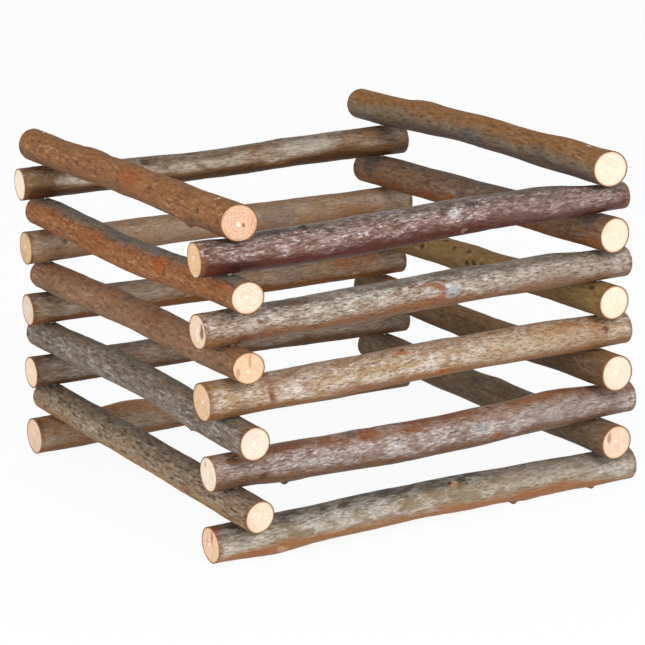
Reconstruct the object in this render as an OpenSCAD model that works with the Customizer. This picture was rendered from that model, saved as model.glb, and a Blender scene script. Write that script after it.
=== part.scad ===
// Hay feeder box: bark-covered branches laid crosswise in ten layers and
// strung on four wire rods, one through each corner.
// The origin is on the floor under the middle of the box. +X runs to the
// right along the front branches, +Y to the back and +Z up.

/* [Box] */
// Distance between the left and the right rods
rod_span_x = 200; // [160:1:260]
// Distance between the front and the back rods
rod_span_y = 200; // [160:1:260]

/* [Branches] */
// Usual diameter of a branch
branch_d = 16.5; // [14:0.5:21]
// Usual length of a branch past the rod at each end
overhang = 16; // [13:0.5:24]
// Gap between the bark of two branches where they cross
bark_gap = 0.2; // [0.1:0.05:0.5]
// Ovality of a branch, as the bulge above its mean radius
ovality = 0.2; // [0:0.05:0.4]
// Height of the slow swellings along a branch
swelling = 0.15; // [0:0.05:0.4]
// Distance from one slow swelling to the next
swelling_pitch = 50; // [30:1:100]

/* [Corner rods] */
// Diameter of the wire
rod_d = 2; // [1.6:0.1:3]
// Gap between a rod and the wall of its drilled hole
rod_clearance = 0.1; // [0.05:0.05:0.3]
// Depth of a rod's top end below the bark
rod_top_depth = 0.3; // [0:0.1:2]
// Height of a rod's bottom end above the floor
rod_foot_height = 3; // [1:0.5:6]

/* [Hidden] */

rod_fn = 32;
branch_sides = 12;
// Turn of the ovality and shift of the swellings from one layer to the next
oval_turn = 70;
swelling_shift = 130;
// Steps between the rings of a branch, along an overhang and between its rods
overhang_steps = 2;
span_steps = 22;
// How far a knot's bump reaches round the branch, in degrees
knot_reach = 55;

// How one branch grew and was cut. Every branch is looked at from its near
// end, which is the left end of a front or back branch and the front end of a
// left or right branch. Sizes are in mm, angles in degrees.
// ends: length past the rods more than the usual overhang, [near, far]
// thick: thickness more than the usual diameter, [near, middle, far]
// rise, drift: how far the middle is bent upwards and to the left
// sway: extra rise of the far half and fall of the near half
// cuts: slant of the saw cuts, [near, far]
// knots: bumps, each [place from the middle, direction, height, half-length],
//        with the directions 0 to the left, 90 up, 180 right and 270 down
function grown(bark, ends = [0, 0], thick = [0, 0, 0], rise = 0, sway = 0, drift = 0,
               cuts = [0, 0], knots = []) =
    [bark, ends, thick, [drift, rise, sway], cuts, knots];

// Where those stand in a grown branch, and where the values stand in them
BARK = 0;
ENDS = 1;
THICK = 2;
BEND = 3;
CUTS = 4;
KNOTS = 5;
NEAR = 0;
FAR = 1;
DRIFT = 0;
RISE = 1;
SWAY = 2;
PLACE = 0;
DIRECTION = 1;
HEIGHT = 2;
HALF_LENGTH = 3;

// The branches of each side, from the bottom up
FRONT = [
    grown("#8b8676", ends = [-2, 2], thick = [1.3, 1.2, 0.6], rise = 1.4,
          knots = [[-82, 270, 1.6, 14], [24, 200, 0.6, 8], [54, 270, 1.2, 7], [96, 270, 0.8, 8]]),
    grown("#8d8078", ends = [-2, 2], thick = [0.5, 2.3, 0], rise = -2, sway = 0.6,
          knots = [[-76, 270, 1.2, 7], [-38, 100, 0.8, 9], [-18, 120, 0.6, 9], [72, 90, 1.6, 16]]),
    grown("#99866c", ends = [0, -1], thick = [1, 0.5, -0.5], rise = 1, sway = 0.7,
          knots = [[6, 130, 0.8, 8], [-64, 200, 0.5, 8], [70, 90, 1.3, 18]]),
    grown("#8f857c", ends = [1, -1.5], thick = [0.5, 0.5, -1], rise = 1, sway = 0.7,
          knots = [[20, 130, 0.8, 9], [72, 90, 1.5, 14]]),
    grown("#6b5552", ends = [1.5, -2], thick = [0.5, 1, -3], rise = 1, sway = 1.8, cuts = [4, 0],
          knots = [[68, 90, 1.6, 18], [-36, 90, 0.5, 8], [-100, 90, -1.2, 7]])
];
BACK = [
    grown("#7d6a58", ends = [-3, -4], thick = [2.7, 0.7, -1.3], rise = 0.8,
          knots = [[-60, 90, 2, 10]]),
    grown("#5f5048", ends = [-3, -4], thick = [0, -1, -0.5], rise = 1.2,
          knots = [[46, 270, 0.6, 8]]),
    grown("#75614f", ends = [-3, -6], thick = [0, -0.5, -0.5], rise = -0.4, cuts = [3, 0],
          knots = [[-20, 90, 0.6, 8]]),
    grown("#988c7d", ends = [-3.5, -2], thick = [0.5, -0.5, 0], rise = 0.3, cuts = [3, 0],
          knots = [[20, 90, 0.4, 8]]),
    grown("#5a4c3f", ends = [-2, -4], thick = [0, -1.5, 0], rise = -1.5, sway = 0.7, cuts = [4, 0],
          knots = [[38, 90, 1, 9]])
];
LEFT = [
    grown("#77695a", ends = [6, -5], thick = [-0.5, -0.5, -0.5], rise = 0.5, cuts = [-8, 0],
          knots = [[40, 0, 0.6, 8], [-122, 270, -1.2, 10]]),
    grown("#736a64", ends = [3, 0], thick = [-0.5, -0.5, -0.5], rise = 3,
          knots = [[-60, 290, 1.2, 7]]),
    grown("#7b5a43", ends = [-1, -8.5], thick = [-1, -0.5, -0.5], rise = 1.2, cuts = [8, 0],
          knots = [[20, 90, 0.4, 8]]),
    grown("#84522f", ends = [0, -6], thick = [-1.5, -0.5, -1], rise = -3, cuts = [14, 0],
          knots = [[-25, 90, 0.5, 8]]),
    grown("#6d4330", ends = [-6, -3.5], thick = [0.5, -0.5, 0], rise = 0.8, cuts = [12, 0],
          knots = [[40, 90, 1.6, 8], [-66, 280, 1.5, 7]])
];
RIGHT = [
    grown("#55493f", ends = [0, 0], thick = [0.5, 0, 0.5], rise = -1,
          knots = [[-8, 90, 1, 9]]),
    grown("#6b5545", ends = [0, 3], thick = [1.5, -0.5, 0.5], rise = -2.5,
          knots = [[20, 90, 0.5, 8]]),
    grown("#8a7752", ends = [-3, 0], thick = [1, -1, 0.5], rise = -0.8,
          knots = [[10, 90, 0.7, 8]]),
    grown("#73604e", ends = [-3, 2], thick = [1, 0.5, 0.5],
          knots = [[40, 20, 0.5, 8]]),
    grown("#76624f", ends = [-7, 6], thick = [1, 0, 0.5], rise = 2, sway = 0.7, cuts = [10, 8],
          knots = [[58, 90, 1.6, 12], [-74, 90, 1.6, 14]])
];

function sum(v, i = 0) = i < len(v) ? v[i] + sum(v, i + 1) : 0;

// Curve through the values a, m and c at -1, 0 and 1
function curve(v, s) = v[1] + (v[2] - v[0]) / 2 * s + ((v[2] + v[0]) / 2 - v[1]) * s * s;

// A branch in its place: how it grew, with the distance between its rods and
// a number of its own that varies its shape. Layer 0 holds the lowest front
// and back branches, layer 1 the lowest left and right ones, and so on
// upwards. side is -1 for front or left and 1 for back or right.
function branch(layer, side) =
    let (course = floor(layer / 2))
    let (number = layer + side / 4)
    layer % 2 == 0
        ? concat(side < 0 ? FRONT[course] : BACK[course], [rod_span_x, number])
        : concat(side < 0 ? LEFT[course] : RIGHT[course], [rod_span_y, number]);
SPAN = 6;
NUMBER = 7;

function near_end(b) = -b[SPAN] / 2 - overhang - b[ENDS][NEAR];
function far_end(b) = b[SPAN] / 2 + overhang + b[ENDS][FAR];

// Angle between two directions, 0 to 180
function angle_between(a, c) = abs((a - c + 540) % 360 - 180);

// Height of a knot's bump at u along the branch, in the direction a
function bump(knot, u, a) =
    let (along = (u - knot[PLACE]) / knot[HALF_LENGTH])
    let (round = angle_between(a, knot[DIRECTION]) / knot_reach)
    knot[HEIGHT] * exp(-along * along - round * round);

// Radius of a branch at u along it from its middle, in the direction a
function radius(b, u, a) =
    (branch_d + curve(b[THICK], 2 * u / b[SPAN])) / 2
        + ovality * cos(2 * a + oval_turn * b[NUMBER])
        + swelling * sin(360 * u / swelling_pitch + swelling_shift * b[NUMBER])
        + sum([for (knot = b[KNOTS]) bump(knot, u, a)]);

// Offset of a branch's centre line, [left, up], none where the rods pass
function bend(b, u) =
    let (s = 2 * u / b[SPAN])
    let (arch = abs(s) < 1 ? (1 + cos(180 * s)) / 2 : 0)
    [arch * b[BEND][DRIFT], arch * (b[BEND][RISE] + 2 * s * b[BEND][SWAY])];

// Places of the rings along a branch, with one at each rod
function ring_places(b) =
    let (rod = b[SPAN] / 2)
    [
        for (i = [0 : overhang_steps - 1]) near_end(b) + (-rod - near_end(b)) * i / overhang_steps,
        for (i = [0 : span_steps]) rod * (2 * i / span_steps - 1),
        for (i = [1 : overhang_steps]) rod + (far_end(b) - rod) * i / overhang_steps
    ];

function side_angle(j) = 360 * j / branch_sides;

// How far a branch reaches below its axis at u along it
function reach_below(b, u) =
    max([
        for (j = [0 : branch_sides - 1])
            let (a = side_angle(j))
            -bend(b, u)[1] - radius(b, u, a) * sin(a)
    ]);

// Heights of the axis of a branch on the floor, at its near and far rods. It
// rests on one ring on each side of its middle. Of the lines through two such
// rings' reaches, the one that is highest in the middle clears all the rest.
function axis_on_floor(b) =
    let (near = [for (u = ring_places(b)) if (u < 0) [u, reach_below(b, u)]])
    let (far = [for (u = ring_places(b)) if (u > 0) [u, reach_below(b, u)]])
    let (lines = [
        for (p = near) for (q = far)
            let (slope = (q[1] - p[1]) / (q[0] - p[0]))
            [p[1] - slope * p[0], slope]
    ])
    let (middles = [for (line = lines) line[0]])
    let (best = lines[search(max(middles), middles)[0]])
    [best[0] - best[1] * b[SPAN] / 2, best[0] + best[1] * b[SPAN] / 2];

// Height of a layer's branch axis at the corner [x, y], each -1 or 1. The
// lowest layer lies on the floor, and each other layer on the one below it.
function axis_z(layer, x, y) =
    let (across = layer % 2 == 0 ? y : x)
    let (along = layer % 2 == 0 ? x : y)
    let (b = branch(layer, across))
    layer == 0
        ? axis_on_floor(b)[along < 0 ? NEAR : FAR]
        : bark_top_z(layer - 1, x, y) + bark_gap + radius(b, along * b[SPAN] / 2, 270);

// Height of the top of a layer's bark at the corner [x, y]
function bark_top_z(layer, x, y) =
    let (across = layer % 2 == 0 ? y : x)
    let (along = layer % 2 == 0 ? x : y)
    let (b = branch(layer, across))
    axis_z(layer, x, y) + radius(b, along * b[SPAN] / 2, 90);

top_layer = 2 * len(FRONT) - 1;

// A branch along +X, drilled for its rods. Its axis is at the heights z_near
// and z_far where the rods pass.
module drilled_branch(b, z_near, z_far) {
    places = ring_places(b);
    last = len(places) - 1;
    points = [
        for (i = [0 : last]) for (j = [0 : branch_sides - 1])
            let (u = places[i])
            let (a = side_angle(j))
            let (r = radius(b, u, a))
            let (cut = i == 0 ? b[CUTS][NEAR] : i == last ? b[CUTS][FAR] : 0)
            let (axis_height = (z_near + z_far) / 2 + (z_far - z_near) * u / b[SPAN])
            [
                u + tan(cut) * r * cos(a),
                bend(b, u)[0] + r * cos(a),
                bend(b, u)[1] + r * sin(a) + axis_height
            ]
    ];
    near_face = [for (j = [0 : branch_sides - 1]) j];
    far_face = [for (j = [branch_sides - 1 : -1 : 0]) last * branch_sides + j];
    bark = [
        for (i = [0 : last - 1]) for (j = [0 : branch_sides - 1])
            let (p = i * branch_sides + j)
            let (q = i * branch_sides + (j + 1) % branch_sides)
            each [[p, p + branch_sides, q], [q, p + branch_sides, q + branch_sides]]
    ];
    color(b[BARK])
        difference() {
            polyhedron(points, concat([near_face, far_face], bark));
            for (end = [-1, 1])
                translate([end * b[SPAN] / 2, 0, (end < 0 ? z_near : z_far) - branch_d])
                    cylinder(d = rod_d + 2 * rod_clearance, h = 2 * branch_d, $fn = rod_fn);
        }
}

// Front branches, back branches: course 1 is the lowest
module x_branch(course, side) {
    layer = 2 * (course - 1);
    translate([0, side * rod_span_y / 2, 0])
        drilled_branch(branch(layer, side), axis_z(layer, -1, side), axis_z(layer, 1, side));
}

// Left branches, right branches
module y_branch(course, side) {
    layer = 2 * course - 1;
    translate([side * rod_span_x / 2, 0, 0])
        rotate([0, 0, 90])
            drilled_branch(branch(layer, side), axis_z(layer, side, -1), axis_z(layer, side, 1));
}

module front_branch(course) {
    x_branch(course, -1);
}

module back_branch(course) {
    x_branch(course, 1);
}

module left_branch(course) {
    y_branch(course, -1);
}

module right_branch(course) {
    y_branch(course, 1);
}

module corner_rod(x, y) {
    rod_top = bark_top_z(top_layer, x, y) - rod_top_depth;
    color("#b9bcbe")
        translate([x * rod_span_x / 2, y * rod_span_y / 2, rod_foot_height])
            cylinder(d = rod_d, h = rod_top - rod_foot_height, $fn = rod_fn);
}

for (course = [1 : len(FRONT)]) {
    front_branch(course);
    back_branch(course);
    left_branch(course);
    right_branch(course);
}
corner_rod(-1, -1);  // corner_rod_front_left
corner_rod(1, -1);  // corner_rod_front_right
corner_rod(-1, 1);  // corner_rod_back_left
corner_rod(1, 1);  // corner_rod_back_right
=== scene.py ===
"""Looks of the hay feeder box: bark, sawn ends, wire, studio and camera.

A Geometry Nodes tree grows a round, lumpy skin over the solid of each branch. Its shape comes from
the solid itself, by rays cast inwards from all round, so a branch always fits its own solid.
"""
import math
import bpy
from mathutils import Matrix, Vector


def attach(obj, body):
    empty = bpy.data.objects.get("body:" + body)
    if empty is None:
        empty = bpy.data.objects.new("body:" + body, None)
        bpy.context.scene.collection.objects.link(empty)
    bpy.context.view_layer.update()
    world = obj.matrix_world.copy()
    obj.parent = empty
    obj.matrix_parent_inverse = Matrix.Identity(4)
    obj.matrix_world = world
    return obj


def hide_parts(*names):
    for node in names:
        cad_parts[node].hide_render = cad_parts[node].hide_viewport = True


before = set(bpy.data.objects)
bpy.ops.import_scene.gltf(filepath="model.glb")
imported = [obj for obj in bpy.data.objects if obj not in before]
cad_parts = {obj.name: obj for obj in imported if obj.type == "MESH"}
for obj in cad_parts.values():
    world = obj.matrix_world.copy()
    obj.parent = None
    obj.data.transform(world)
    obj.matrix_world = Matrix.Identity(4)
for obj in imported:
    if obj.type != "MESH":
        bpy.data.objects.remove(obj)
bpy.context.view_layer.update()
MM = 0.001
WOOD_IOR = 1.45        # of wood and of bark


def linear(code):
    """Linear colour of an sRGB hex value."""
    parts = [int(code[i:i + 2], 16) / 255 for i in (1, 3, 5)]
    return (*[c / 12.92 if c <= 0.04045 else ((c + 0.055) / 1.055) ** 2.4 for c in parts], 1)


def add(tree, kind, inputs=None, **settings):
    """Adds a node with its settings and links.

    An input takes a value, a socket, or a node, which stands for its first output.
    """
    node = tree.nodes.new(kind)
    for name, value in settings.items():
        setattr(node, name, value)
    for key, value in (inputs or {}).items():
        socket = node.inputs[key] if isinstance(key, int) else next(
            s for s in node.inputs if s.enabled and s.name == key)
        if isinstance(value, bpy.types.Node):
            value = next(s for s in value.outputs if s.enabled)
        if isinstance(value, bpy.types.NodeSocket):
            tree.links.new(value, socket)
        else:
            socket.default_value = value
    return node


def new_material(name):
    """A material and its tree, still empty."""
    material = bpy.data.materials.new(name)
    material.use_nodes = True
    material.node_tree.nodes.clear()
    return material, material.node_tree


# Sizes of the skin

SIDES = 96           # 0.5 mm apart round a branch
RINGS = 400          # 0.6 mm apart along it
CAP_RINGS = 5        # on each sawn face
RAY_START = 20 * MM  # distance from the axis at which the rays start, outside the thickest branch
END_MARGIN = 0.03    # share of the length at each end that takes the girth next to it
HOLE_SLOPE = 0.7     # a hit that faces further off than this lies in a drilled hole
SMOOTHING = 30       # passes that round the flat sides of the solid
LUMP_HEIGHT = 0.25 * MM
LUMP_PITCH = 13 * MM
LUMP_DETAIL = 2.0
WRINKLE_HEIGHT = 0.16 * MM
WRINKLE_PITCH = 1.6 * MM
WRINKLE_DETAIL = 3.0
WRINKLE_STRETCH = 0.22  # share of its real length along the branch that the noise sees
STUB_HEIGHT = 1.3 * MM
STUB_RADIUS = 2.6 * MM
STUB_TIP = 0.1       # share of that radius with the full height


def grown_branch_tree():
    """Tree that wraps a cylinder's skin round the solid of a branch and roughens it as bark."""
    tree = bpy.data.node_groups.new("grown_branch", "GeometryNodeTree")
    for name, kind in (("Solid", "Object"), ("Stubs", "Object"),
                       ("Near centre", "Vector"), ("Far centre", "Vector"),
                       ("Near face", "Vector"), ("Far face", "Vector"),
                       ("Lump height", "Float"), ("Wrinkle height", "Float"), ("Seed", "Float"),
                       ("Bark", "Material"), ("Sawn wood", "Material")):
        tree.interface.new_socket(name, in_out="INPUT", socket_type="NodeSocket" + kind)
    tree.interface.new_socket("Branch", in_out="OUTPUT", socket_type="NodeSocketGeometry")
    given = add(tree, "NodeGroupInput").outputs

    # A cylinder of radius and length 1, whose points all get a new place on the branch
    tube = add(tree, "GeometryNodeMeshCylinder",
               {"Vertices": SIDES, "Side Segments": RINGS, "Fill Segments": CAP_RINGS,
                "Radius": 1.0, "Depth": 1.0}, fill_type="TRIANGLE_FAN").outputs
    place = add(tree, "ShaderNodeSeparateXYZ", {0: add(tree, "GeometryNodeInputPosition")}).outputs
    along = add(tree, "ShaderNodeMath", {0: place[2], 1: 0.5}, operation="ADD")
    disc = add(tree, "ShaderNodeCombineXYZ", {0: place[0], 1: place[1]})
    rim = add(tree, "ShaderNodeVectorMath", {0: disc}, operation="NORMALIZE")

    # The axis runs from one sawn face to the other, with a side and an up direction across it
    axis = add(tree, "ShaderNodeVectorMath", {0: given["Far centre"], 1: given["Near centre"]},
               operation="SUBTRACT")
    length = add(tree, "ShaderNodeVectorMath", {0: axis}, operation="LENGTH")
    forward = add(tree, "ShaderNodeVectorMath", {0: axis}, operation="NORMALIZE")
    level = add(tree, "ShaderNodeVectorMath", {0: (0, 0, 1), 1: forward},
                operation="CROSS_PRODUCT")
    side = add(tree, "ShaderNodeVectorMath", {0: level}, operation="NORMALIZE")
    up = add(tree, "ShaderNodeVectorMath", {0: forward, 1: side}, operation="CROSS_PRODUCT")
    sideways = add(tree, "ShaderNodeVectorMath", {0: side, "Scale": place[0]}, operation="SCALE")
    across = add(tree, "ShaderNodeVectorMath", {0: up, 1: place[1], 2: sideways},
                 operation="MULTIPLY_ADD")
    outward = add(tree, "ShaderNodeVectorMath", {0: across}, operation="NORMALIZE")
    inward = add(tree, "ShaderNodeVectorMath", {0: outward, "Scale": -1.0}, operation="SCALE")

    # A ray cast inwards from each side finds the solid. Rays that meet a drilled hole don't count.
    inside = add(tree, "ShaderNodeClamp", {0: along, 1: END_MARGIN, 2: 1 - END_MARGIN})
    ray_foot = add(tree, "ShaderNodeVectorMath", {0: axis, 1: inside, 2: given["Near centre"]},
                   operation="MULTIPLY_ADD")
    ray_start = add(tree, "ShaderNodeVectorMath",
                    {0: outward, 1: (RAY_START,) * 3, 2: ray_foot}, operation="MULTIPLY_ADD")
    solid = add(tree, "GeometryNodeObjectInfo", {"Object": given["Solid"]}).outputs["Geometry"]
    ray = add(tree, "GeometryNodeRaycast",
              {"Target Geometry": solid, "Source Position": ray_start, "Ray Direction": inward,
               "Ray Length": RAY_START}).outputs
    facing = add(tree, "ShaderNodeVectorMath", {0: ray["Hit Normal"], 1: outward},
                 operation="DOT_PRODUCT")
    on_bark = add(tree, "ShaderNodeMath", {0: facing, 1: HOLE_SLOPE}, operation="GREATER_THAN")
    counted = add(tree, "ShaderNodeMath", {0: on_bark, 1: ray["Is Hit"]}, operation="MULTIPLY")
    girth = add(tree, "ShaderNodeMath", {0: RAY_START, 1: ray["Hit Distance"]},
                operation="SUBTRACT")
    weighed = add(tree, "ShaderNodeMath", {0: girth, 1: counted}, operation="MULTIPLY")
    smooth_girth = add(tree, "GeometryNodeBlurAttribute",
                       {"Value": weighed, "Iterations": SMOOTHING})
    smooth_count = add(tree, "GeometryNodeBlurAttribute",
                       {"Value": counted, "Iterations": SMOOTHING})
    radius = add(tree, "ShaderNodeMath", {0: smooth_girth, 1: smooth_count}, operation="DIVIDE")
    centre = add(tree, "ShaderNodeVectorMath", {0: axis, 1: along, 2: given["Near centre"]},
                 operation="MULTIPLY_ADD")
    skin = add(tree, "ShaderNodeVectorMath", {0: outward, 1: radius, 2: centre},
               operation="MULTIPLY_ADD")

    # Bark: slow lumps, and wrinkles drawn out along the branch
    metres = add(tree, "ShaderNodeMath", {0: along, 1: length}, operation="MULTIPLY")
    drawn_out = add(tree, "ShaderNodeMath", {0: metres, 1: WRINKLE_STRETCH}, operation="MULTIPLY")
    unrolled = add(tree, "ShaderNodeVectorMath",
                   {0: rim, 1: radius, 2: add(tree, "ShaderNodeCombineXYZ", {2: drawn_out})},
                   operation="MULTIPLY_ADD")
    for vector, pitch, detail, height in (
            (skin, LUMP_PITCH, LUMP_DETAIL, given["Lump height"]),
            (unrolled, WRINKLE_PITCH, WRINKLE_DETAIL, given["Wrinkle height"])):
        noise = add(tree, "ShaderNodeTexNoise",
                    {"Vector": vector, "W": given["Seed"], "Scale": 1 / pitch, "Detail": detail},
                    noise_dimensions="4D")
        swing = add(tree, "ShaderNodeMapRange", {"Value": noise, "To Min": -1.0, "To Max": 1.0})
        radius = add(tree, "ShaderNodeMath", {0: swing, 1: height, 2: radius},
                     operation="MULTIPLY_ADD")

    # Stubs of twigs stand round the points of the stubs' mesh
    stubs = add(tree, "GeometryNodeObjectInfo", {"Object": given["Stubs"]}).outputs["Geometry"]
    near_stub = add(tree, "GeometryNodeProximity", {"Geometry": stubs, "Sample Position": skin},
                    target_element="POINTS").outputs
    swelling = add(tree, "ShaderNodeMapRange",
                   {"Value": near_stub["Distance"], "From Min": STUB_RADIUS,
                    "From Max": STUB_RADIUS * STUB_TIP}, interpolation_type="SMOOTHSTEP")
    stub = add(tree, "ShaderNodeMath", {0: swelling, 1: near_stub["Is Valid"]},
               operation="MULTIPLY")
    radius = add(tree, "ShaderNodeMath", {0: stub, 1: STUB_HEIGHT, 2: radius},
                 operation="MULTIPLY_ADD")
    reach = add(tree, "ShaderNodeVectorMath", {0: across, "Scale": radius}, operation="SCALE")

    # The ends follow the slant of the sawn faces
    shifts = []
    for face in ("Near face", "Far face"):
        slant = add(tree, "ShaderNodeVectorMath", {0: reach, 1: given[face]},
                    operation="DOT_PRODUCT")
        square = add(tree, "ShaderNodeVectorMath", {0: forward, 1: given[face]},
                     operation="DOT_PRODUCT")
        shifts.append(add(tree, "ShaderNodeMath", {0: slant, 1: square}, operation="DIVIDE"))
    shift = add(tree, "ShaderNodeMix", {"Factor": along, "A": shifts[0], "B": shifts[1]},
                data_type="FLOAT")
    back = add(tree, "ShaderNodeVectorMath", {0: forward, "Scale": shift}, operation="SCALE")
    upright = add(tree, "ShaderNodeVectorMath", {0: centre, 1: reach}, operation="ADD")
    skin_place = add(tree, "ShaderNodeVectorMath", {0: upright, 1: back}, operation="SUBTRACT")

    # What the materials need to know of a point: its place on a sawn face of radius 1, how much
    # of a stub it is, and how far it is from the nearer end
    end_sign = add(tree, "ShaderNodeMath", {0: place[2]}, operation="SIGN")
    face_place = add(tree, "ShaderNodeCombineXYZ", {0: place[0], 1: place[1], 2: end_sign})
    other_end = add(tree, "ShaderNodeMath", {0: 1.0, 1: along}, operation="SUBTRACT")
    nearer = add(tree, "ShaderNodeMath", {0: along, 1: other_end}, operation="MINIMUM")
    from_end = add(tree, "ShaderNodeMath", {0: nearer, 1: length}, operation="MULTIPLY")
    mesh = tube["Mesh"]
    for name, value, data_type in (("face_place", face_place, "FLOAT_VECTOR"),
                                   ("stub", stub, "FLOAT"), ("from_end", from_end, "FLOAT")):
        mesh = add(tree, "GeometryNodeStoreNamedAttribute",
                   {"Geometry": mesh, "Name": name, "Value": value},
                   data_type=data_type, domain="POINT")

    mesh = add(tree, "GeometryNodeSetPosition", {"Geometry": mesh, "Position": skin_place})
    ends = add(tree, "FunctionNodeBooleanMath", {0: tube["Top"], 1: tube["Bottom"]}, operation="OR")
    mesh = add(tree, "GeometryNodeSetShadeSmooth", {"Geometry": mesh, "Shade Smooth": True})
    mesh = add(tree, "GeometryNodeSetShadeSmooth",
               {"Geometry": mesh, "Selection": ends, "Shade Smooth": False})
    mesh = add(tree, "GeometryNodeRealizeInstances", {"Geometry": mesh})
    mesh = add(tree, "GeometryNodeSetMaterial", {"Geometry": mesh, "Material": given["Bark"]})
    mesh = add(tree, "GeometryNodeSetMaterial",
               {"Geometry": mesh, "Selection": ends, "Material": given["Sawn wood"]})
    add(tree, "NodeGroupOutput", {"Branch": mesh})
    return tree


# Grain of the bark: how far it is drawn out along the branch, its width in mm, its detail and
# its roughness
GRAIN = {
    "tone": (0.35, 14.0, 3.0, 0.5),     # slow change of tone
    "bare": (0.50, 9.0, 4.0, 0.6),      # where the film has worn off
    "flake": (0.20, 0.85, 3.0, 0.65),   # flakes of the film
    "grit": (0.32, 0.8, 2.0, 0.6),      # cracked surface, drawn a little coarser than real to show
    "wrinkle": (0.16, 0.85, 2.0, 0.6),  # wrinkles along the branch
    "ragged": (1.00, 2.5, 2.0, 0.6),    # edges of the marks
    "mottle": (0.45, 4.0, 2.0, 0.5),    # light and dark patches of the film
}
FINE_GRAIN = ("flake", "grit", "wrinkle")  # what a branch's own coarseness widens
GRAIN_BEND = 0.4       # distortion of the noise

# The grain that each part of the bark follows, and the levels at which the part begins and is full
LEVELS = {
    "film": ("flake", 0.60, 0.78),
    "bare": ("bare", 0.80, 0.90),
    # silvery stretches of the film, which also carry its painted sheen
    "silver_sheen": ("tone", 0.30, 0.65),
    "mottle": ("mottle", 0.38, 0.56),
    "pits": ("grit", 0.48, 0.34),
    # painted glints: bright specks of the glint tone on the grit's crests, in the film's band
    "painted_glints": ("grit", 0.53, 0.67),
    "streaks": ("wrinkle", 0.52, 0.68),
    "cracks": ("wrinkle", 0.48, 0.32),
}
FULL_COVER = 0.35      # how far the levels of the film and the bare bark fall at a cover of 1
TONE_SWAY = 0.7        # how far the edges of the tones and the film wander, as a change of slope
FILM_ON_TOP = 0.3      # share of the film, and of its painted highlight, that is left where the bark faces up most
FILM_BETWEEN = 0.45    # share of it that is left between its silvery stretches
FILM_GLOSS = 0.12      # how much less rough it is than the bark
PORE_PITCH = 6.0       # mm from one lenticel to the next
PORE_STRETCH = 0.5     # share of its real length along the branch that the pattern sees
PORE_EDGE = (0.26, 0.12)  # distance from its middle, in pitches, at which it begins and is full
STUB_SHADE = 0.6       # strength of the dark tone on a stub
WORN_SWING = 8 * MM    # how far the noise swings the edge of the worn band at a saw cut
WORN_EDGE = (7 * MM, 4.6 * MM)  # swing plus distance from the cut where it begins and is full
MARK_WANDER = 4.0      # mm over which the noise moves the edge of a mark
MARK_CORE = 0.4        # share of a mark's size that has its full tone
HOOK_WIDTH = 1.2       # half width in mm of the line that draws a hook
RELIEF = (("wrinkle", 0.8), ("flake", 0.5))  # what joins the grit in the bark's relief


def scales(axis, along, across=1):
    """Vector with one value on the branch's own axis and another on the two axes across it."""
    return tuple(along if i == axis else across for i in range(3))


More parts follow.
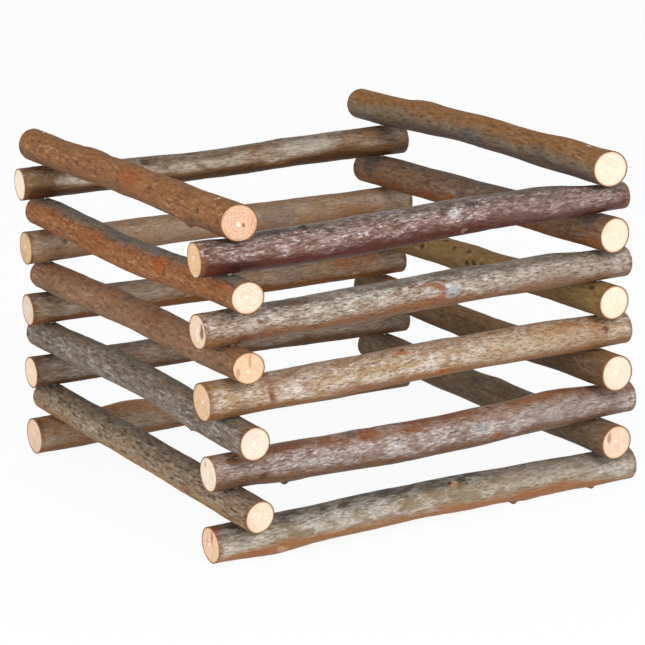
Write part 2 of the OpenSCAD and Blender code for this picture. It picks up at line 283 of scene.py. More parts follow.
def bark(name, look, axis, seed):
    """Bark of a hazel or willow branch, as grown. The eye sees a warm brown skin under a thin
    silvery film that is split into flakes, fine cracks along the branch, and scars where twigs
    and buds were. The film is painted brightest in a band where the bark faces the lamps, with
    bright glints on its flakes: a painted highlight."""
    material, tree = new_material(name)
    metres = add(tree, "ShaderNodeTexCoord").outputs["Object"]
    mm = add(tree, "ShaderNodeVectorMath", {0: metres, "Scale": 1 / MM}, operation="SCALE")
    normal = add(tree, "ShaderNodeSeparateXYZ",
                 {0: add(tree, "ShaderNodeNewGeometry").outputs["Normal"]}).outputs
    grain = {}
    for number, (kind, (draw, width, detail, roughness)) in enumerate(GRAIN.items()):
        if kind in FINE_GRAIN:
            width = width * look["coarse"]
        drawn = add(tree, "ShaderNodeVectorMath", {0: mm, 1: scales(axis, draw)},
                    operation="MULTIPLY")
        grain[kind] = add(tree, "ShaderNodeTexNoise",
                          {"Vector": drawn, "W": seed + number, "Scale": 1 / width,
                           "Detail": detail, "Roughness": roughness, "Distortion": GRAIN_BEND},
                          noise_dimensions="4D")

    # How far a place faces up, with an edge that wanders with the tone
    sway = add(tree, "ShaderNodeMapRange",
               {"Value": grain["tone"], "To Min": -TONE_SWAY, "To Max": TONE_SWAY})
    facing_up = add(tree, "ShaderNodeMath", {0: normal[2], 1: sway}, operation="ADD")
    edges = [(kind, facing_up, *look[kind]) for kind in ("high", "low", "lit", "shy")]
    for kind, (source, empty, full) in LEVELS.items():
        fall = FULL_COVER * look.get(kind + "_cover", 0)
        edges.append((kind, grain[source], empty - fall, full - fall))
    cover = {}
    for kind, source, empty, full in edges:
        cover[kind] = add(tree, "ShaderNodeMapRange",
                          {"Value": source, "From Min": empty, "From Max": full},
                          interpolation_type="SMOOTHSTEP")

    # Where the film is, and how much of it is left there: most in a band where the bark faces the
    # lamps and less towards the top, so the film is a silvery skin and a painted highlight band
    film = cover["lit"]
    for kind, least in (("shy", FILM_ON_TOP), ("silver_sheen", FILM_BETWEEN),
                        ("mottle", look["thin"])):
        share = add(tree, "ShaderNodeMapRange",
                    {"Value": cover[kind], "To Min": least, "To Max": 1.0})
        film = add(tree, "ShaderNodeMath", {0: film, 1: share}, operation="MULTIPLY")
    for kind in ("silver_sheen", "film", "painted_glints", "streaks", "pits", "cracks"):
        strength = look["film_strength" if kind == "film" else kind]
        cover[kind] = add(tree, "ShaderNodeMath", {0: cover[kind], 1: strength},
                          operation="MULTIPLY")
    # The silver sheen, film, glints and streaks keep to the film's band: painted highlight
    for kind in ("silver_sheen", "film", "painted_glints", "streaks"):
        cover[kind] = add(tree, "ShaderNodeMath", {0: cover[kind], 1: film}, operation="MULTIPLY")

    # Lenticels: small dark pores spread over the bark
    drawn = add(tree, "ShaderNodeVectorMath", {0: mm, 1: scales(axis, PORE_STRETCH)},
                operation="MULTIPLY")
    pores = add(tree, "ShaderNodeTexVoronoi", {"Vector": drawn, "Scale": 1 / PORE_PITCH})
    cover["pores"] = add(tree, "ShaderNodeMapRange",
                         {"Value": pores, "From Min": PORE_EDGE[0], "From Max": PORE_EDGE[1],
                          "To Max": look["pores"]}, interpolation_type="SMOOTHSTEP")
    stub = add(tree, "ShaderNodeAttribute", attribute_name="stub").outputs["Fac"]
    cover["stub"] = add(tree, "ShaderNodeMath", {0: stub, 1: STUB_SHADE}, operation="MULTIPLY")
    # The film has come off next to a saw cut, over some 1 to 5 mm
    from_end = add(tree, "ShaderNodeAttribute", attribute_name="from_end").outputs["Fac"]
    ragged_end = add(tree, "ShaderNodeMath", {0: grain["bare"], 1: WORN_SWING, 2: from_end},
                     operation="MULTIPLY_ADD")
    cover["worn"] = add(tree, "ShaderNodeMapRange",
                        {"Value": ragged_end, "From Min": WORN_EDGE[0], "From Max": WORN_EDGE[1],
                         "To Max": look["worn_off"]}, interpolation_type="SMOOTHSTEP")

    # The film's tone in its band and the glint tone are painted highlight over the bark's tones
    layers = [(cover["high"], look["top"]), (cover["low"], look["under"]),
              (cover["silver_sheen"], look["film"]), (cover["film"], look["film"]),
              (cover["worn"], look["worn"]), (cover["streaks"], look["film"]),
              (cover["painted_glints"], look["glint"]), (cover["bare"], look["bare"])]
    wander = add(tree, "ShaderNodeVectorMath",
                 {0: grain["ragged"].outputs["Color"], 1: (0.5,) * 3}, operation="SUBTRACT")
    ragged = add(tree, "ShaderNodeVectorMath", {0: wander, 1: (MARK_WANDER,) * 3, 2: mm},
                 operation="MULTIPLY_ADD")
    for shape, spot, size, stretch, tone, strength in look["marks"]:
        offset = add(tree, "ShaderNodeVectorMath", {0: ragged, 1: spot}, operation="SUBTRACT")
        squeeze = scales(axis, 1, 0) if shape == "band" else scales(axis, 1 / stretch)
        squeezed = add(tree, "ShaderNodeVectorMath", {0: offset, 1: squeeze},
                       operation="MULTIPLY")
        away = add(tree, "ShaderNodeVectorMath", {0: squeezed}, operation="LENGTH")
        if shape == "hook":
            # A ring that fades out towards the near end of the branch
            ahead = add(tree, "ShaderNodeSeparateXYZ", {0: offset}).outputs[axis]
            strength = add(tree, "ShaderNodeMapRange",
                           {"Value": ahead, "From Min": -stretch * size,
                            "From Max": stretch * size / 2, "To Max": strength})
            away = add(tree, "ShaderNodeMath", {0: away, 1: size}, operation="SUBTRACT")
            away = add(tree, "ShaderNodeMath", {0: away}, operation="ABSOLUTE")
            size = HOOK_WIDTH
        share = add(tree, "ShaderNodeMapRange",
                    {"Value": away, "From Min": size, "From Max": size * MARK_CORE,
                     "To Max": strength}, interpolation_type="SMOOTHSTEP")
        layers.append((share, tone))
    layers += [(cover["pits"], look["dark"]), (cover["cracks"], look["dark"]),
               (cover["pores"], look["pore"]), (cover["stub"], look["dark"])]
    colour = linear(look["side"])
    for share, tone in layers:
        colour = add(tree, "ShaderNodeMix", {"Factor": share, "A": colour, "B": linear(tone)},
                     data_type="RGBA")

    relief = grain["grit"]
    for kind, share in RELIEF:
        relief = add(tree, "ShaderNodeMath", {0: grain[kind], 1: share, 2: relief},
                     operation="MULTIPLY_ADD")
    bump = add(tree, "ShaderNodeBump", {"Height": relief, "Distance": look["relief"] * MM})
    rough = add(tree, "ShaderNodeMapRange",
                {"Value": cover["film"], "To Min": look["roughness"],
                 "To Max": look["roughness"] - FILM_GLOSS})
    surface = add(tree, "ShaderNodeBsdfPrincipled",
                  {"Base Color": colour, "Roughness": rough, "IOR": WOOD_IOR,
                   "Specular IOR Level": 0.3, "Normal": bump})
    add(tree, "ShaderNodeOutputMaterial", {"Surface": surface})
    return material


# Grain of a sawn end: its seed's step, its width in mm and its detail
END_GRAIN = {
    "warp": (0, 4.0, 2.0),    # bends the year rings
    "blotch": (2, 5.0, 3.0),  # slow change of tone
    "pore": (4, 0.6, 2.0),    # specks of pores
}
FACE_RADIUS = 8.0      # mm that the disc of radius 1 stands for
RING_WARP = 0.35       # bend of the year rings, in radii
YEARS = 6              # year rings of about 1.3 mm
PORE_DEPTH = 0.15 * MM


def sawn_wood(name, look, seed):
    """End grain of a sawn branch. The eye sees pale wood with faint year rings round a small pith,
    fine specks of pores, a darker line under the bark and the bark's own dark rim."""
    material, tree = new_material(name)
    place = add(tree, "ShaderNodeAttribute", attribute_name="face_place").outputs["Vector"]
    flat = add(tree, "ShaderNodeVectorMath", {0: place, 1: (1, 1, 0)}, operation="MULTIPLY")
    grain = {kind: add(tree, "ShaderNodeTexNoise",
                       {"Vector": place, "W": seed + step, "Scale": FACE_RADIUS / width,
                        "Detail": detail}, noise_dimensions="4D")
             for kind, (step, width, detail) in END_GRAIN.items()}
    wander = add(tree, "ShaderNodeVectorMath",
                 {0: grain["warp"].outputs["Color"], 1: (0.5,) * 3}, operation="SUBTRACT")
    warped = add(tree, "ShaderNodeVectorMath", {0: wander, 1: (RING_WARP, RING_WARP, 0), 2: flat},
                 operation="MULTIPLY_ADD")
    from_pith = add(tree, "ShaderNodeVectorMath", {0: warped, 1: (*look["pith"], 0)},
                    operation="SUBTRACT")
    grown = add(tree, "ShaderNodeVectorMath", {0: from_pith}, operation="LENGTH")
    turns = add(tree, "ShaderNodeMath", {0: grown, 1: 2 * math.pi * YEARS}, operation="MULTIPLY")
    years = add(tree, "ShaderNodeMath", {0: turns}, operation="SINE")
    edge = add(tree, "ShaderNodeVectorMath", {0: flat}, operation="LENGTH")

    # What a layer follows, where it begins and is full, its strength and its tone
    layers = [(years, 0.1, 1.0, look["ring_strength"], look["ring"]),
              (grain["blotch"], 0.45, 0.75, 0.6, look["ring"]),
              (grain["pore"], 0.50, 0.70, 0.6, look["ring"]),
              (grain["pore"], 0.48, 0.28, 0.4, look["light"]),
              (grown, 0.14, 0.04, 0.8, look["pith_tone"])]
    for (x, y), (width, height), tone, strength in look["marks"]:
        offset = add(tree, "ShaderNodeVectorMath", {0: warped, 1: (x, y, 0)}, operation="SUBTRACT")
        offset = add(tree, "ShaderNodeVectorMath", {0: offset, 1: (1 / width, 1 / height, 0)},
                     operation="MULTIPLY")
        away = add(tree, "ShaderNodeVectorMath", {0: offset}, operation="LENGTH")
        layers.append((away, 1.0, 0.5, strength, tone))
    layers += [(edge, 0.84, 0.92, 0.7, look["under_bark"]), (edge, 0.93, 0.96, 1.0, look["rim"])]
    colour = linear(look["wood"])
    for source, empty, full, strength, tone in layers:
        share = add(tree, "ShaderNodeMapRange",
                    {"Value": source, "From Min": empty, "From Max": full, "To Max": strength},
                    interpolation_type="SMOOTHSTEP")
        colour = add(tree, "ShaderNodeMix", {"Factor": share, "A": colour, "B": linear(tone)},
                     data_type="RGBA")
    bump = add(tree, "ShaderNodeBump",
               {"Height": grain["pore"], "Distance": PORE_DEPTH, "Strength": 0.6})
    surface = add(tree, "ShaderNodeBsdfPrincipled",
                  {"Base Color": colour, "Roughness": 0.7, "IOR": WOOD_IOR, "Normal": bump})
    add(tree, "ShaderNodeOutputMaterial", {"Surface": surface})
    return material


# Looks of the branches
# Tones: top, side and under by the way the bark faces, film for the silvery skin and its painted
# highlight band, glint for the painted glints on its flakes, bare for the warm bark where it has
# worn off, worn for the bark next to a saw cut, dark for pits and cracks, and pore for lenticels.
# Edges: high, low and lit say how far up a place has to face for the top's tone, the under's tone
# and the film to begin and to be full. shy says it for the film to be least and to be full. lit and
# shy make the film a painted highlight band where the bark faces the lamps.
# Amounts: film_cover and bare_cover are how much of the bark they take, and thin is how much of
# the film is left in its thin patches. film_strength, silver_sheen, pits, painted_glints, streaks,
# cracks, pores and worn_off are how strongly each shows; silver_sheen and painted_glints are
# painted highlight. coarse widens the fine grain, and relief is its depth in mm.
# A mark has a shape (a spot, a hook or a band round the branch), a place and size in mm, a stretch
# along the branch, a tone and a strength.

BASE = dict(high=(0.25, 0.95), low=(0.0, -0.5), lit=(-0.6, 0.05), shy=(1.1, 0.5),
            film="#d3cbc3", glint="#dcdad8", film_cover=0.6, film_strength=0.8, silver_sheen=0.45,
            bare="#9a6238", bare_cover=0.3, dark="#38241a", pits=0.7, painted_glints=1.0, streaks=0.65,
            cracks=0.4, thin=0.35, pores=0.0, pore="#3a2818", worn="#865730", worn_off=0.75,
            coarse=1.0, roughness=0.6, relief=0.9)
BACK_BARK = dict(BASE, film_cover=0.4, painted_glints=0.4, pits=0.4, bare_cover=0.45)
SIDE_BARK = dict(BASE, film_cover=0.3, silver_sheen=0.05, streaks=0.3, pits=0.4, cracks=0.5, painted_glints=0.6,
                 coarse=1.5, roughness=0.75)
BARK = {
    "front_branch_1": dict(
        # the dark top tone is partly the bark's colour and partly painted shade along the upper
        # edge
        BASE, top="#3a3024", side="#8a7658", under="#a56e3e", film="#cfc6bc", glint="#e2dcd6",
        bare="#99683c", dark="#4a321c", thin=0.2, pits=0.3, cracks=0.2, painted_glints=0.6,
        roughness=0.45, marks=[
            # painted shade: this wide soft patch dims the film's highlight on the right half
            ("spot", (75, -104, 15), 9.0, 7.0, "#a2907e", 0.5),
            ("spot", (13, -105, 18), 2.8, 1.2, "#b48c5e", 0.9),
            # painted highlight: the pale pink fleck on the knot
            ("spot", (15, -105, 18), 1.3, 1.0, "#dcae94", 0.8),
            ("spot", (11, -105, 19), 2.0, 1.0, "#20140e", 0.95),
            ("spot", (18, -104, 19), 2.4, 1.4, "#3a3430", 0.85),
            ("spot", (11, -107, 13), 1.6, 2.0, "#8a4a24", 0.7),
            ("spot", (-47, -104, 18), 2.0, 2.5, "#4a2a1e", 0.8),
            ("spot", (-112, -101, 19), 4.0, 1.0, "#6e3a20", 0.8),
            ("spot", (-81, -106, 5), 3.0, 1.4, "#e6b98c", 0.8),
            ("spot", (-95, -105, 5), 5.0, 2.5, "#a85c28", 0.6),
            ("spot", (70, -106, 8), 4.0, 7.0, "#a0602c", 0.6)]),
    "front_branch_2": dict(
        BASE, top="#7e4c24", side="#84695a", under="#7a5a42", film="#cabfb8", glint="#e4e2e6",
        bare="#7d4a2c", dark="#4a2818", shy=(0.9, 0.35), thin=0.2, pits=0.55, cracks=0.35,
        roughness=0.42, marks=[
            # painted shade: this wide soft patch dims the film's highlight on the right half
            ("spot", (70, -105, 45), 9.0, 7.0, "#9c8a80", 0.5),
            ("spot", (-76, -103, 52), 4.5, 5.0, "#744020", 0.75),
            ("spot", (-33, -105, 51), 4.5, 2.2, "#8e5428", 0.85),
            ("spot", (-42, -103, 51), 4.0, 1.0, "#584a4c", 0.7),
            ("spot", (-38, -108, 44), 1.4, 5.0, "#d9c6bd", 0.6),
            ("spot", (-90, -108, 41), 2.6, 1.0, "#5b2a26", 0.8),
            ("spot", (10, -101, 52), 4.5, 6.0, "#7c4420", 0.6),
            ("spot", (64, -103, 51), 4.5, 5.0, "#8e5a30", 0.65),
            ("spot", (35, -108, 39), 3.2, 1.6, "#96582e", 0.85),
            ("spot", (27, -109, 44), 3.5, 1.6, "#8e9298", 0.6)]),
    "front_branch_3": dict(
        BASE, top="#906a42", side="#a6855c", under="#946a42", film="#d9ccc1", glint="#efe8e4",
        bare="#956a44", dark="#5e3a20", pits=0.6, thin=0.25, roughness=0.48, marks=[
            # painted shade: this wide soft patch dims the film's highlight on the right half
            ("spot", (60, -106, 80), 9.0, 7.0, "#b49a7c", 0.5),
            ("spot", (-85, -108, 78), 2.6, 1.0, "#6d3527", 0.85),
            ("band", (-85, -108, 79), 2.4, 1.0, "#8d5c48", 0.6),
            ("spot", (-66, -107, 79), 3.0, 1.8, "#9c6248", 0.5),
            ("spot", (-14, -104, 87), 3.4, 1.4, "#a8622f", 0.85),
            ("spot", (-13, -103, 87), 1.9, 1.0, "#6a2c0c", 0.9),
            ("spot", (6, -107, 75), 2.6, 3.0, "#b05a20", 0.75),
            ("spot", (74, -105, 85), 4.0, 5.0, "#a97440", 0.5),
            ("spot", (96, -106, 82), 6.0, 1.6, "#a86c44", 0.5),
            ("spot", (99, -107, 81), 2.4, 1.0, "#6e2c20", 0.85),
            ("spot", (-34, -107, 74), 2.0, 2.0, "#a5593c", 0.5)]),
    "front_branch_4": dict(
        # the dark top tone is partly the bark's colour and partly painted shade along the upper
        # edge
        BASE, top="#54402d", side="#8f755b", under="#886040", film="#d2c8bc", glint="#e6e4e4",
        bare="#83593a", dark="#4a2f1c", roughness=0.42, marks=[
            # painted shade: this wide soft patch dims the film's highlight on the right half
            ("spot", (75, -106, 113), 9.0, 7.0, "#a08e7e", 0.5),
            ("spot", (-70, -104, 119), 3.0, 6.0, "#5a3c26", 0.7),
            ("spot", (-98, -107, 107), 2.6, 2.5, "#6a3a22", 0.7),
            ("hook", (-5, -108, 113), 4.6, 2.6, "#965a3c", 0.9),
            ("spot", (-20, -104, 119), 1.4, 12.0, "#5c4634", 0.7),
            ("spot", (11, -108, 113), 3.6, 1.4, "#a4b0ba", 0.7),
            ("spot", (60, -107, 108), 3.5, 7.0, "#8e6444", 0.5)]),
    "front_branch_5": dict(
        # the dark top tone is partly the bark's colour and partly painted shade along the upper
        # edge
        BASE, low=(0.35, -0.15), lit=(-0.25, 0.3), top="#4e3a2a", side="#744c3c", under="#58281a",
        film="#bea8a0", glint="#e6e0e4", film_cover=0.5, film_strength=0.6, silver_sheen=0.25,
        bare="#662c1c", bare_cover=0.45, dark="#28140f", pits=0.6, painted_glints=0.9, thin=0.25,
        roughness=0.38, marks=[
            # painted shade: this wide soft patch dims the film's highlight on the right half
            ("spot", (70, -106, 146), 9.0, 7.0, "#856c62", 0.45),
            ("spot", (-64, -103, 152), 2.4, 2.0, "#241410", 0.9),
            ("spot", (-80, -103, 152), 2.6, 6.0, "#2b1814", 0.85),
            ("spot", (-98, -107, 139), 3.0, 4.0, "#3c120c", 0.85),
            ("spot", (60, -102, 155), 4.0, 9.0, "#4c3a28", 0.7),
            # painted highlight: the near-white fleck among the dark ones
            ("spot", (13, -107, 149), 3.2, 1.6, "#e0dcdc", 0.75),
            ("spot", (18, -107, 146), 2.6, 1.0, "#4a2420", 0.85),
            ("spot", (24, -105, 151), 2.4, 2.5, "#2a1a16", 0.85),
            ("spot", (8, -107, 139), 2.4, 4.0, "#5a1e16", 0.7),
            ("spot", (19, -107, 140), 2.4, 1.0, "#b08a7a", 0.6)]),
    "back_branch_1": dict(
        BACK_BARK, top="#a06a38", side="#a07a56", under="#926a42", film="#b4a696", glint="#bcae9e",
        bare="#a0612f", marks=[
            ("spot", (-60, 92, 21), 6.0, 1.5, "#9a6538", 0.6),
            ("spot", (-112, 96, 15), 7.0, 1.2, "#553a26", 0.6)]),
    "back_branch_2": dict(
        BACK_BARK, top="#5f4a36", side="#8a6e56", under="#6f4e32", film="#b4a89c", glint="#bcb0a6",
        bare="#6b4a31", marks=[
            ("spot", (-112, 96, 47), 7.0, 1.2, "#4c3828", 0.5)]),
    "back_branch_3": dict(
        BACK_BARK, top="#604428", side="#90704e", under="#88562a", film="#bcae9e", glint="#c6bab0",
        silver_sheen=0.5, bare="#86542c", marks=[
            ("spot", (78, 93, 79), 9.0, 2.5, "#8a5430", 0.6),
            ("spot", (-50, 93, 80), 9.0, 2.5, "#9a8674", 0.5),
            ("spot", (36, 93, 78), 8.0, 1.6, "#847268", 0.6)]),
    "back_branch_4": dict(
        BACK_BARK, top="#8e6c48", side="#a08060", under="#a6805e", film="#c2b2a2", glint="#cabdb2",
        silver_sheen=0.5, bare="#966a42", dark="#59463a", cracks=0.3, marks=[
            ("spot", (-94, 92, 112), 2.0, 1.0, "#4a382c", 0.8),
            ("spot", (80, 92, 107), 8.0, 2.5, "#94623c", 0.5),
            ("spot", (-25, 92, 108), 8.0, 3.5, "#a8927e", 0.45),
            ("spot", (30, 92, 110), 8.0, 2.0, "#857870", 0.5)]),
    "back_branch_5": dict(
        # its silver band down the middle is painted sheen on a silvery film
        BACK_BARK, lit=(-0.2, 0.2), shy=(0.8, 0.4), top="#583a1c", side="#866442", under="#573619",
        film="#cfc3b0", silver_sheen=0.75, bare="#5a3a1c", bare_cover=0.5, roughness=0.5, marks=[
            # painted sheen: the pale patch along the middle of the right half
            ("spot", (50, 94, 145), 6.0, 4.0, "#cfc6b8", 0.5),
            ("spot", (-85, 92, 149), 6.0, 3.0, "#5e4426", 0.6),
            ("spot", (98, 94, 144), 5.0, 2.5, "#5c3c24", 0.6),
            ("spot", (-46, 95, 148), 3.0, 1.5, "#3a2414", 0.8)]),
    "left_branch_1": dict(
        SIDE_BARK, top="#6b5846", side="#866e54", under="#a07a50", film="#bdb0a0", glint="#cfc6ba",
        film_cover=0.4, silver_sheen=0.1, bare="#8b6a45", dark="#2c1e14", pits=0.5, cracks=0.8, marks=[
            ("spot", (-102, 17, 35), 4.0, 1.5, "#76786a", 0.6),
            ("spot", (-103, 9, 35), 1.8, 1.0, "#8a4528", 0.8),
            ("spot", (-108, -64, 27), 2.6, 1.4, "#a86a35", 0.8)]),
    "left_branch_2": dict(
        SIDE_BARK, top="#766654", side="#766658", under="#85766a", film="#b0a49a", glint="#c6c2c0",
        film_cover=0.35, bare="#6c5644", dark="#2c211b", pits=0.45, cracks=0.65, marks=[
            ("spot", (-96, -23, 70), 2.0, 2.0, "#6b3d24", 0.8)]),
    "left_branch_3": dict(
        SIDE_BARK, top="#8b6244", side="#845e40", under="#86664a", film="#b09076", glint="#b89c80",
        bare="#8d6240", dark="#3c271a", pores=0.3, marks=[
            ("spot", (-104, -30, 98), 7.0, 2.5, "#7c4c2c", 0.4),
            ("spot", (-101, 3, 102), 3.0, 1.5, "#54444a", 0.7)]),
    "left_branch_4": dict(
        SIDE_BARK, high=(0.65, 1.0), top="#6e665c", side="#925a2e", under="#905e36",
        film="#a8947c", glint="#b89a78", film_cover=0.2, film_strength=0.2, silver_sheen=0.0,
        streaks=0.1, bare="#a65820", dark="#472a18", pits=0.6, cracks=0.6, marks=[
            ("spot", (-107, 30, 125), 6.0, 4.0, "#8a4c20", 0.5),
            ("spot", (-106, -42, 128), 5.5, 1.4, "#a8521a", 0.75),
            ("spot", (-108, -48.5, 127), 4.0, 0.2, "#2e1a12", 0.95)]),
    "left_branch_5": dict(
        SIDE_BARK, top="#80522a", side="#8a5a34", under="#7e5636", film="#b88c5e", glint="#c8a070",
        silver_sheen=0.0, bare="#a4612f", dark="#472a1a", pores=0.5, marks=[
            ("spot", (-106, -15, 164), 8.0, 1.8, "#9c4f22", 0.5),
            ("spot", (-104, -70, 165), 5.0, 3.0, "#76502c", 0.5),
            ("spot", (-102, -94, 168), 1.8, 1.0, "#e2cdb8", 0.8),
            ("spot", (-108, -86, 162), 1.5, 1.5, "#33201a", 0.9)]),
    "right_branch_1": dict(
        SIDE_BARK, top="#77604a", side="#70583e", under="#6d5844", film="#8c8072", glint="#94897c",
        bare="#6d543c", dark="#251b14", marks=[
            ("spot", (92, 0, 32), 7.0, 1.5, "#524840", 0.6)]),
    "right_branch_2": dict(
        SIDE_BARK, top="#85633c", side="#694f33", under="#6b4f31", film="#8a7b6a", glint="#94867a",
        bare="#75553a", dark="#2a1f15", marks=[
            ("spot", (93, 40, 60), 7.0, 2.5, "#7c6248", 0.5),
            ("spot", (92, 30, 64), 7.0, 2.0, "#7a5636", 0.5)]),
    "right_branch_3": dict(
        SIDE_BARK, top="#8c6c40", side="#876a3e", under="#856a40", film="#a08a5e", glint="#a8946e",
        bare="#6b5533", dark="#3a2b18", cracks=0.2, pits=0.3, pores=0.9, pore="#43290f", marks=[
            ("spot", (93, 84, 94), 8.0, 2.0, "#8c744a", 0.6),
            ("spot", (93, 48, 93), 2.1, 1.3, "#3b2615", 0.9),
            ("spot", (93, 56, 94), 1.8, 1.6, "#3b2615", 0.9),
            ("spot", (93, 63, 93), 1.7, 1.3, "#3b2615", 0.85),
            ("spot", (95, 20, 97), 2.0, 1.3, "#3b2615", 0.85),
            ("spot", (92, 4, 93), 2.1, 1.3, "#33200f", 0.9),
            ("spot", (93, -2, 94), 1.9, 1.3, "#33200f", 0.9),
            ("spot", (95, 6, 98), 1.7, 1.3, "#3b2615", 0.85)]),
    "right_branch_4": dict(
        SIDE_BARK, top="#695343", side="#7d5a40", under="#84522c", film="#94826f", glint="#9c8c80",
        bare="#85603f", bare_cover=0.4, dark="#281c14", marks=[
            ("spot", (93, 102, 129), 7.0, 1.5, "#4c4438", 0.6),
            ("spot", (92, 62, 128), 7.0, 2.5, "#86664a", 0.5),
            ("spot", (92, 40, 122), 3.2, 6.0, "#8e4c1c", 0.75),
            ("spot", (92, 20, 124), 3.4, 1.6, "#9c5218", 0.9),
            ("spot", (92, 8, 127), 6.0, 1.3, "#5c4c42", 0.6),
            ("spot", (93, -101, 134), 6.0, 1.2, "#564444", 0.6)]),
    "right_branch_5": dict(
        SIDE_BARK, high=(0.05, 0.60), top="#865826", side="#7c6854", under="#66564a",
        film="#8f7f6e", glint="#9c8e80", bare="#8d6339", bare_cover=0.4, dark="#2c1f15", marks=[
            ("spot", (92, 80, 160), 8.0, 3.0, "#7c6a48", 0.5),
            ("spot", (92, 0, 160), 5.5, 2.5, "#666260", 0.65),
            ("band", (93, 17, 165), 1.6, 1.0, "#6b5c44", 0.6),
            ("spot", (93, 14, 167), 1.5, 1.0, "#2a1d14", 0.9),
            ("spot", (92, -60, 163), 4.0, 2.0, "#5a4a44", 0.5),
            ("spot", (99, -92, 168), 1.8, 1.0, "#e6ddd2", 0.8),
            ("spot", (97, -80, 169), 2.4, 1.5, "#b0703a", 0.8)]),
}

# Looks of the sawn ends
# Tones: wood, ring for the year rings, the blotches and the dark pores, light for the pale pores,
# pith_tone for the pith, under_bark for the line under the bark and rim for the bark itself.
# pith is its place on a disc of radius 1. A mark has a place and a half width and height on that
# disc, a tone and a strength.

END = dict(ring="#deb593", light="#fbeedc", ring_strength=0.35, pith=(0.05, 0.05),
           pith_tone="#fff2de", under_bark="#c08d5c", rim="#5e4029", marks=())
ENDS = {
    "front_branch_1": dict(END, wood="#e8c6a6", ring="#cf9c74", pith=(0.1, 0.0), marks=[
        ((-0.15, 0.45), (0.14, 0.5), "#8f5c3c", 0.7), ((0.35, 0.2), (0.12, 0.3), "#b98560", 0.5)]),
    "front_branch_2": dict(END, wood="#ecdecb", ring="#d9bc9e", pith=(0.0, 0.1), marks=[
        ((0.35, 0.45), (0.12, 0.3), "#9a6a48", 0.6)]),
    "front_branch_3": dict(END, wood="#dcba94", ring="#c99a6c", pith=(-0.1, 0.0)),
    "front_branch_4": dict(END, wood="#e8cdb6", ring="#c89c7a", pith=(0.0, 0.1), marks=[
        ((-0.50, 0.1), (0.22, 0.65), "#5f3d28", 0.85), ((0.1, -0.3), (0.3, 0.4), "#f4e6d4", 0.5)]),
    "front_branch_5": dict(END, wood="#e2bc8f", ring="#c4945f", pith=(0.1, 0.1)),
    "back_branch_1": dict(END, wood="#eccdb0", ring="#d9a888"),
    "back_branch_2": dict(END, wood="#f4dfc0", ring="#e2be92"),
    "back_branch_3": dict(END, wood="#e8d3bf", ring="#c8ab92"),
    "back_branch_4": dict(END, wood="#dab78d", ring="#bd8f62"),
    "back_branch_5": dict(END, wood="#f6e6d0", ring="#ead2b2"),
    "left_branch_1": dict(END, wood="#f3e0ca", ring="#dcb994"),
    "left_branch_2": dict(END, wood="#eedccb", ring="#e0bba4"),
    "left_branch_3": dict(END, wood="#e6c09c", ring="#d79f7c", pith=(0.05, -0.2), marks=[
        ((-0.12, 0.45), (0.13, 0.55), "#bd7c62", 0.7),
        ((0.65, -0.2), (0.14, 0.45), "#a9704e", 0.6)]),
    "left_branch_4": dict(END, wood="#e9d3bf", ring="#d8ab8c", ring_strength=0.5),
    "left_branch_5": dict(END, wood="#dab095", ring="#bd8868", light="#f4d6ba", ring_strength=0.55,
                          pith=(0.05, -0.1), marks=[
                              ((-0.2, -0.15), (0.09, 0.09), "#7c4a30", 0.9),
                              ((0.15, 0.25), (0.07, 0.07), "#a8744f", 0.7)]),
    "right_branch_1": dict(END, wood="#efd3ba", ring="#dfaf90", ring_strength=0.15, marks=[
        ((0.5, 0.35), (0.16, 0.45), "#a96c4c", 0.75)]),
    "right_branch_2": dict(END, wood="#f4e0cc", ring="#e6c4a8", ring_strength=0.15),
    "right_branch_3": dict(END, wood="#f0e2cc", ring="#e6cfa8", ring_strength=0.1),
    "right_branch_4": dict(END, wood="#f0e0ca", ring="#e2c8a6", ring_strength=0.1),
    "right_branch_5": dict(END, wood="#efdcc6", ring="#e0c2a2", ring_strength=0.15),
}

# Places of the stubs of cut or broken twigs, in mm
STUBS = {
    "front_branch_1": [(49, -102, 3), (93, -103, 4)],
    "front_branch_2": [(-76, -101, 34)],
    "front_branch_5": [(-64, -103, 152)],
    "left_branch_2": [(-101, -60, 54)],
    "left_branch_5": [(-103, 41, 169), (-101, -66, 152)],
}

FACE_REACH = 5 * MM    # a sawn face lies within this of the branch's end
FACE_SLOPE = 0.9       # and its normal has at least this share along the branch
SEED_STEP = 7          # seeds that the noises of one branch take


def sawn_face(solid, axis, sign):
    """Centre and outward normal of the sawn face of a branch's solid at one end of its axis."""
    mesh = solid.data
    limit = max(v.co[axis] * sign for v in mesh.vertices) - FACE_REACH
    faces = [p for p in mesh.polygons
             if p.normal[axis] * sign > FACE_SLOPE and p.center[axis] * sign > limit]
    area = sum(p.area for p in faces)
    centre = sum((p.center * p.area for p in faces), Vector()) / area
    normal = sum((p.normal * p.area for p in faces), Vector()).normalized()
    return centre, normal


def set_input(modifier, tree, name, value):
    """Sets the input of a tree's modifier by its socket's identifier."""
    for item in tree.interface.items_tree:
        if item.item_type == "SOCKET" and item.in_out == "INPUT" and item.name == name:
            modifier[item.identifier] = value


def stub_points(solid, places):
    """Object whose vertices are the points of a solid's bark next to the places."""
    mesh = bpy.data.meshes.new("stubs")
    mesh.from_pydata([solid.closest_point_on_mesh(Vector(p) * MM)[1] for p in places], [], [])
    return bpy.data.objects.new("stubs", mesh)


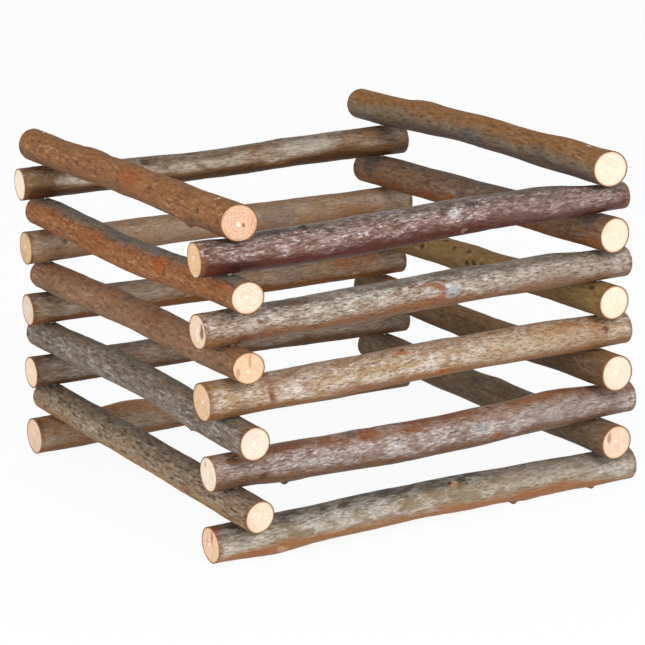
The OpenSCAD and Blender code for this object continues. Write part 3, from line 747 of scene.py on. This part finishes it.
def grow(node, tree, seed):
    """Skin of one branch over its solid, as a plain mesh."""
    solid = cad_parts[node]
    axis = 0 if node.startswith(("front", "back")) else 1
    near_centre, near_normal = sawn_face(solid, axis, -1)
    far_centre, far_normal = sawn_face(solid, axis, 1)
    bark_material = bark(node.replace("branch", "branch_bark"), BARK[node], axis, seed)
    end_material = sawn_wood(node.replace("branch", "branch_sawn_end"), ENDS[node], seed)
    stubs = stub_points(solid, STUBS.get(node, ()))
    maker = bpy.data.objects.new("maker", bpy.data.meshes.new("maker"))
    for helper in (maker, stubs):
        bpy.context.scene.collection.objects.link(helper)
    modifier = maker.modifiers.new("grown", "NODES")
    modifier.node_group = tree
    for name, value in (("Solid", solid), ("Stubs", stubs),
                        ("Near centre", near_centre), ("Far centre", far_centre),
                        ("Near face", near_normal), ("Far face", far_normal),
                        ("Lump height", LUMP_HEIGHT), ("Wrinkle height", WRINKLE_HEIGHT),
                        ("Seed", seed), ("Bark", bark_material), ("Sawn wood", end_material)):
        set_input(modifier, tree, name, value)
    bpy.context.view_layer.update()
    grown = maker.evaluated_get(bpy.context.evaluated_depsgraph_get())
    mesh = bpy.data.meshes.new_from_object(grown)
    for helper in (maker, stubs):
        bpy.data.objects.remove(helper)
    skin = bpy.data.objects.new(node + "_skin", mesh)
    bpy.context.scene.collection.objects.link(skin)
    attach(skin, "root")
    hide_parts(node)


def galvanised_wire():
    """Hot-dip galvanised steel wire. The eye sees a dull light grey metal with a faint mottle."""
    material, tree = new_material("galvanised_steel_wire")
    place = add(tree, "ShaderNodeTexCoord").outputs["Object"]
    # 700 to a metre makes patches of about 1.4 mm
    mottle = add(tree, "ShaderNodeTexNoise", {"Vector": place, "Scale": 700.0, "Detail": 2.0})
    colour = add(tree, "ShaderNodeMix",
                 {"Factor": mottle, "A": linear("#a9acae"), "B": linear("#cfd2d3")},
                 data_type="RGBA")
    rough = add(tree, "ShaderNodeMapRange", {"Value": mottle, "To Min": 0.3, "To Max": 0.5})
    surface = add(tree, "ShaderNodeBsdfPrincipled",
                  {"Base Color": colour, "Metallic": 1.0, "Roughness": rough})
    add(tree, "ShaderNodeOutputMaterial", {"Surface": surface})
    return material


# The object

grown_branch = grown_branch_tree()
for number, node in enumerate(sorted(BARK)):
    grow(node, grown_branch, float(number * SEED_STEP))
wire = galvanised_wire()
for node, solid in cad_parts.items():
    if node.startswith("corner_rod"):
        solid.data.materials.clear()
        solid.data.materials.append(wire)


# Studio: a white floor that runs to the horizon, a soft key lamp, a fill lamp from the left and a
# white surround

WHITENESS = 0.93       # share of plain white in the seen floor, the rest takes the shadow
FLOOR_REACH = 30       # metres from the middle to each edge
SURROUND_LIGHT = 0.64  # strength of the surround's light on the box, where the camera sees 1
LAMP_AIM = Vector((0, 0, 0.08))


def seen_directly(tree):
    """1 where a thing is seen itself or in metal or glass, 0 where its light falls on others."""
    rays = add(tree, "ShaderNodeLightPath").outputs
    seen = rays["Is Camera Ray"]
    for kind in ("Is Glossy Ray", "Is Transmission Ray"):
        seen = add(tree, "ShaderNodeMath", {0: seen, 1: rays[kind]}, operation="MAXIMUM")
    return seen


def white_paper():
    """Matt white paper. The eye sees an even white ground with a soft shadow on it."""
    material, tree = new_material("white_paper_floor")
    paper = add(tree, "ShaderNodeBsdfDiffuse", {"Color": linear("#f4f4f4")})
    glow = add(tree, "ShaderNodeEmission", {"Color": linear("#ffffff"), "Strength": 1.0})
    direct = add(tree, "ShaderNodeMath", {0: seen_directly(tree), 1: WHITENESS},
                 operation="MULTIPLY")
    surface = add(tree, "ShaderNodeMixShader", {0: direct, 1: paper, 2: glow})
    add(tree, "ShaderNodeOutputMaterial", {"Surface": surface})
    return material


def lamp(name, place, size, watts):
    """Round lamp that faces the box."""
    data = bpy.data.lights.new(name, "AREA")
    data.shape = "DISK"
    data.size = size
    data.energy = watts
    lamp_object = bpy.data.objects.new(name, data)
    lamp_object.location = place
    aim = LAMP_AIM - Vector(place)
    lamp_object.rotation_euler = aim.to_track_quat("-Z", "Y").to_euler()
    bpy.context.scene.collection.objects.link(lamp_object)


floor_mesh = bpy.data.meshes.new("floor")
floor_mesh.from_pydata([(x * FLOOR_REACH, y * FLOOR_REACH, 0)
                        for x, y in ((-1, -1), (1, -1), (1, 1), (-1, 1))], [], [(0, 1, 2, 3)])
floor = bpy.data.objects.new("floor", floor_mesh)
floor_mesh.materials.append(white_paper())
bpy.context.scene.collection.objects.link(floor)

world = bpy.data.worlds.new("studio")
bpy.context.scene.world = world
world.use_nodes = True
surround = world.node_tree
surround.nodes.clear()
level = add(surround, "ShaderNodeMapRange",
            {"Value": seen_directly(surround), "To Min": SURROUND_LIGHT, "To Max": 1.0})
sky = add(surround, "ShaderNodeBackground", {"Color": linear("#ffffff"), "Strength": level})
add(surround, "ShaderNodeOutputWorld", {"Surface": sky})

lamp("key", (-0.1, -1.25, 0.8), 0.5, 8.6)
lamp("left_fill", (-1.2, -0.5, 0.5), 0.6, 6.2)

# Camera: the photo's viewpoint, found from the sawn ends

AZIMUTH, ELEVATION, ROLL = math.radians(-29.62), math.radians(14.83), math.radians(1.16)
DISTANCE = 1.26
TARGET = Vector((0.0033, 0, 0.0752))
camera_data = bpy.data.cameras.new("camera")
camera_data.sensor_width = 36
camera_data.lens = 140.5
camera_data.clip_start = 0.05
camera_data.clip_end = 100
camera = bpy.data.objects.new("camera", camera_data)
back = Vector((math.sin(AZIMUTH) * math.cos(ELEVATION), -math.cos(AZIMUTH) * math.cos(ELEVATION),
               math.sin(ELEVATION)))
camera.location = TARGET + back * DISTANCE
turn = (-back).to_track_quat("-Z", "Y").to_matrix().to_4x4()
camera.rotation_euler = turn.to_euler()
camera.rotation_euler.rotate_axis("Z", -ROLL)
bpy.context.scene.collection.objects.link(camera)
bpy.context.scene.camera = camera
bpy.context.scene.view_settings.view_transform = "Standard"
